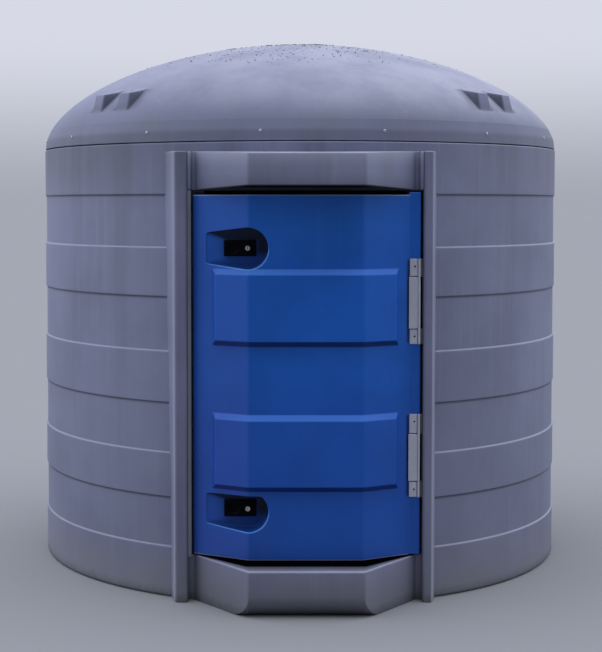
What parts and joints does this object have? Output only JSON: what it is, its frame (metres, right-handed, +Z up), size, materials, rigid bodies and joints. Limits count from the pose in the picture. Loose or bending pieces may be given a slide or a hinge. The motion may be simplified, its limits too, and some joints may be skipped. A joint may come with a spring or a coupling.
{
  "type": "double-walled diesel tank",
  "caption": "Round moulded diesel tank with a domed roof, an inner tank and a service cabinet behind a hinged door with three facets.",
  "frame": {"origin": "on the tank's axis at ground level, on the underside of the outer tank's floor", "axes": "+Z up; -Y is the door side, so +Y points to the back; +X is to the right seen from the door side"},
  "size_m": [2.4, 2.59, 2.357],
  "materials": {
    "moulded_grey": "moulded polyethylene, weathered, faint dust and run marks",
    "inner_wall_grey": "moulded polyethylene, sheltered",
    "door_blue": "moulded polyethylene, satin",
    "hinge_steel": "dull zinc-plated",
    "latch_black": "satin black",
    "lock_chrome": "polished"
  },
  "bodies": {
    "tank": {"bund_floor": "inner_wall_grey", "outer_wall_01": "moulded_grey", "outer_wall_02": "moulded_grey", "outer_wall_03": "moulded_grey", "outer_wall_04": "moulded_grey", "outer_wall_05": "moulded_grey", "outer_wall_06": "moulded_grey", "outer_wall_07": "moulded_grey", "outer_wall_08": "moulded_grey", "outer_wall_09": "moulded_grey", "outer_wall_10": "moulded_grey", "outer_wall_11": "moulded_grey", "wall_over_door": "moulded_grey", "roof_dome": "moulded_grey", "doorway_post_left": "moulded_grey", "doorway_post_right": "moulded_grey", "lintel": "moulded_grey", "threshold": "moulded_grey", "cabinet_side_left": "inner_wall_grey", "cabinet_side_right": "inner_wall_grey", "door_stop_left": "moulded_grey", "door_stop_right": "moulded_grey", "cabinet_ceiling": "inner_wall_grey", "cabinet_floor": "inner_wall_grey", "inner_tank_floor": "inner_wall_grey", "inner_tank_front": "inner_wall_grey", "inner_tank_wall_1": "inner_wall_grey", "inner_tank_wall_2": "inner_wall_grey", "inner_tank_wall_3": "inner_wall_grey", "inner_tank_wall_4": "inner_wall_grey", "inner_tank_wall_5": "inner_wall_grey", "inner_tank_top": "inner_wall_grey", "inner_tank_neck": "inner_wall_grey", "hinge_upper_frame_leaf": "hinge_steel", "hinge_lower_frame_leaf": "hinge_steel"},
    "door": {"door": "door_blue", "latch_upper": "latch_black", "latch_lower": "latch_black", "lock_cylinder_upper": "lock_chrome", "lock_cylinder_lower": "lock_chrome", "hinge_upper_door_leaf": "hinge_steel", "hinge_lower_door_leaf": "hinge_steel"}
  },
  "joints": [
    {"name": "door_hinge", "type": "hinge", "parent": "tank", "child": "door", "pos_m": [0.456, -1.143, 0.92], "axis": [0, 0, 1], "range_deg": [0, 110]}
  ]
}
